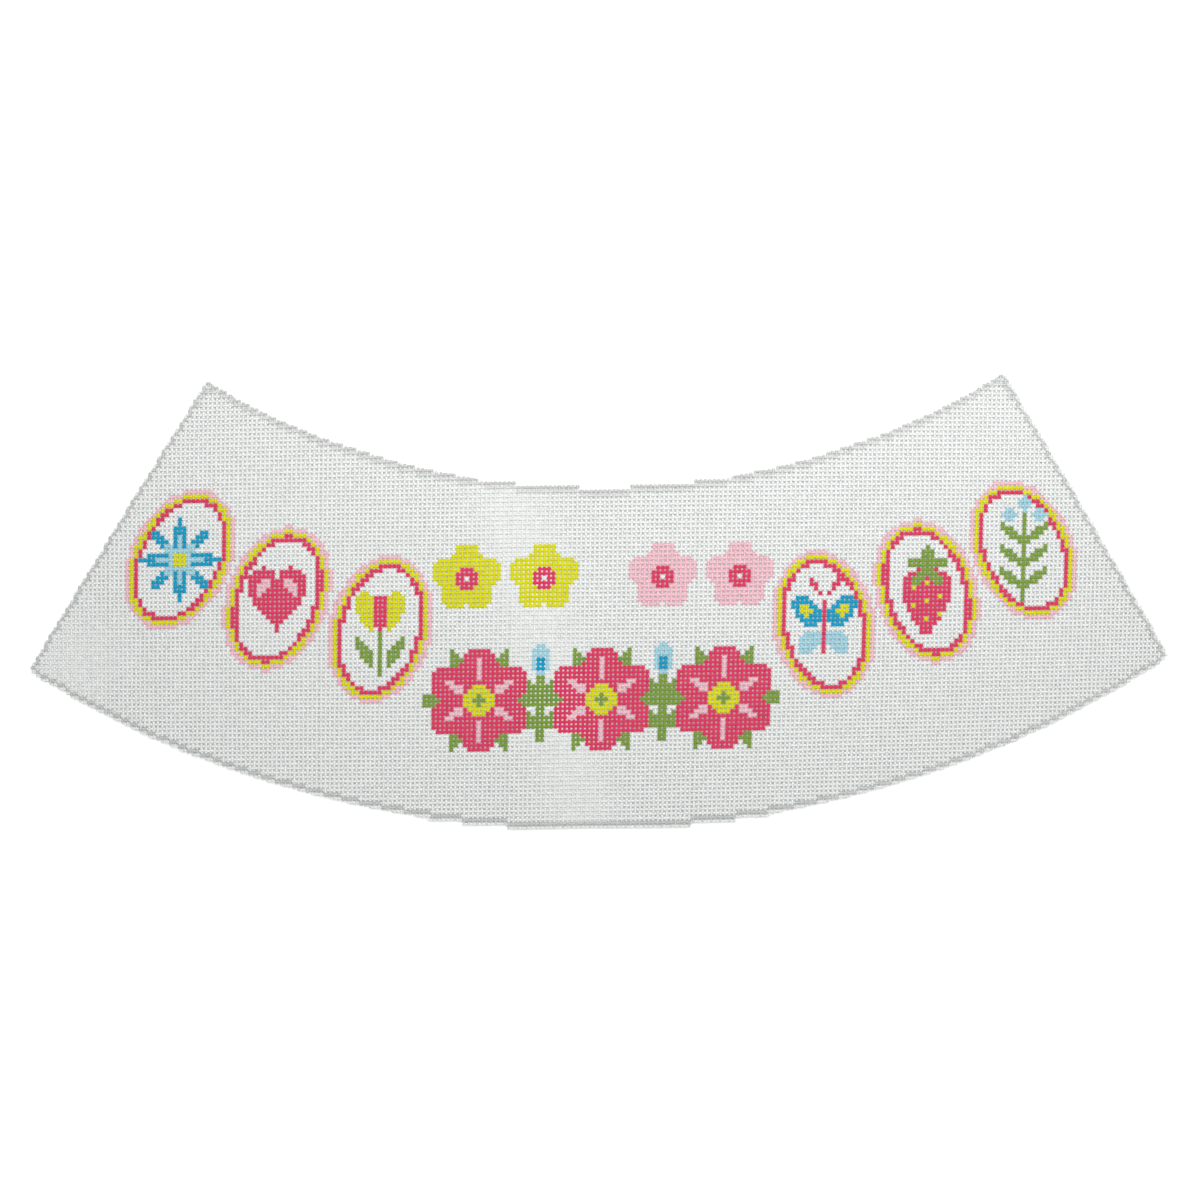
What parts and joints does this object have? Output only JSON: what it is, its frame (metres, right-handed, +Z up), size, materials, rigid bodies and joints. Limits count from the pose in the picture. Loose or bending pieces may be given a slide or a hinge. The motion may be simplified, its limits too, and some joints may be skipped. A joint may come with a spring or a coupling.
{
  "type": "needlepoint canvas panel",
  "caption": "Flat curved panel of open-weave needlepoint canvas, cut as part of a ring along its threads, with a painted outline and a painted flower and star design to stitch over.",
  "frame": {"origin": "under the middle of the panel's box, on the surface that it lies on", "axes": "+X along the rows of the weave, +Y across the panel towards its hollow edge, +Z up, out of the painted face"},
  "size_m": [0.5044, 0.1994, 0.0011],
  "materials": {
    "canvas": "matte sized cotton threads, white, with thin matte paint on the top face"
  },
  "bodies": {
    "root": {"canvas_panel": "canvas"}
  },
  "joints": []
}
